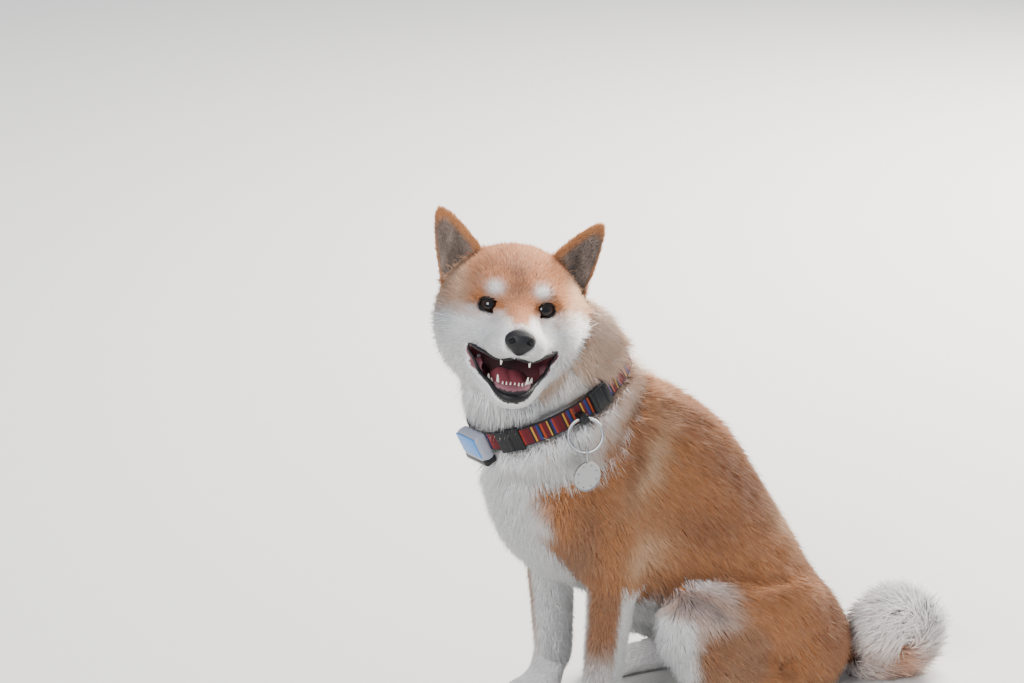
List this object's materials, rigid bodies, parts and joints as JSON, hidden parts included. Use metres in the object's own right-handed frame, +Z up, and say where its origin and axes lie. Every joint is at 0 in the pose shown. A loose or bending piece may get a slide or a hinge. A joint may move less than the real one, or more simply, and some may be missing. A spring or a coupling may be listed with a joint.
{
  "type": "seated dog figure",
  "caption": "Life-size shiba inu sitting upright with its head turned to one side and its mouth open, wearing a woven collar.",
  "frame": {"origin": "on the floor, on the small flat under the rump that the dog sits on", "axes": "+Z up, -Y the way the chest faces, +X towards the dog's left side"},
  "size_m": [0.2494, 0.5454, 0.5362],
  "materials": {
    "red_coat": "short dense red-tan coat",
    "cream_coat": "short dense cream coat",
    "black_skin": "moist black nose leather",
    "dark_eye": "wet dark brown eye",
    "tongue": "moist dark pink",
    "webbing": "woven striped webbing",
    "black_plastic": "satin black",
    "grey_plastic": "satin grey",
    "steel": "worn steel"
  },
  "bodies": {
    "root": {"torso": "red_coat", "neck": "red_coat", "head": "red_coat", "nose": "black_skin", "lower_jaw": "cream_coat", "tongue": "tongue", "eye_left": "dark_eye", "eye_right": "dark_eye", "ear_left": "red_coat", "ear_right": "red_coat", "upper_arm_left": "red_coat", "upper_arm_right": "red_coat", "forearm_left": "cream_coat", "forearm_right": "cream_coat", "fore_paw_left": "cream_coat", "fore_paw_right": "cream_coat", "thigh_left": "red_coat", "thigh_right": "red_coat", "shank_left": "cream_coat", "shank_right": "cream_coat", "hind_paw_left": "cream_coat", "hind_paw_right": "cream_coat", "tail": "cream_coat", "collar": "webbing", "collar_buckle": "black_plastic", "collar_slider": "black_plastic", "collar_tracker": "grey_plastic", "collar_ring": "steel", "collar_tag": "steel"}
  },
  "joints": []
}
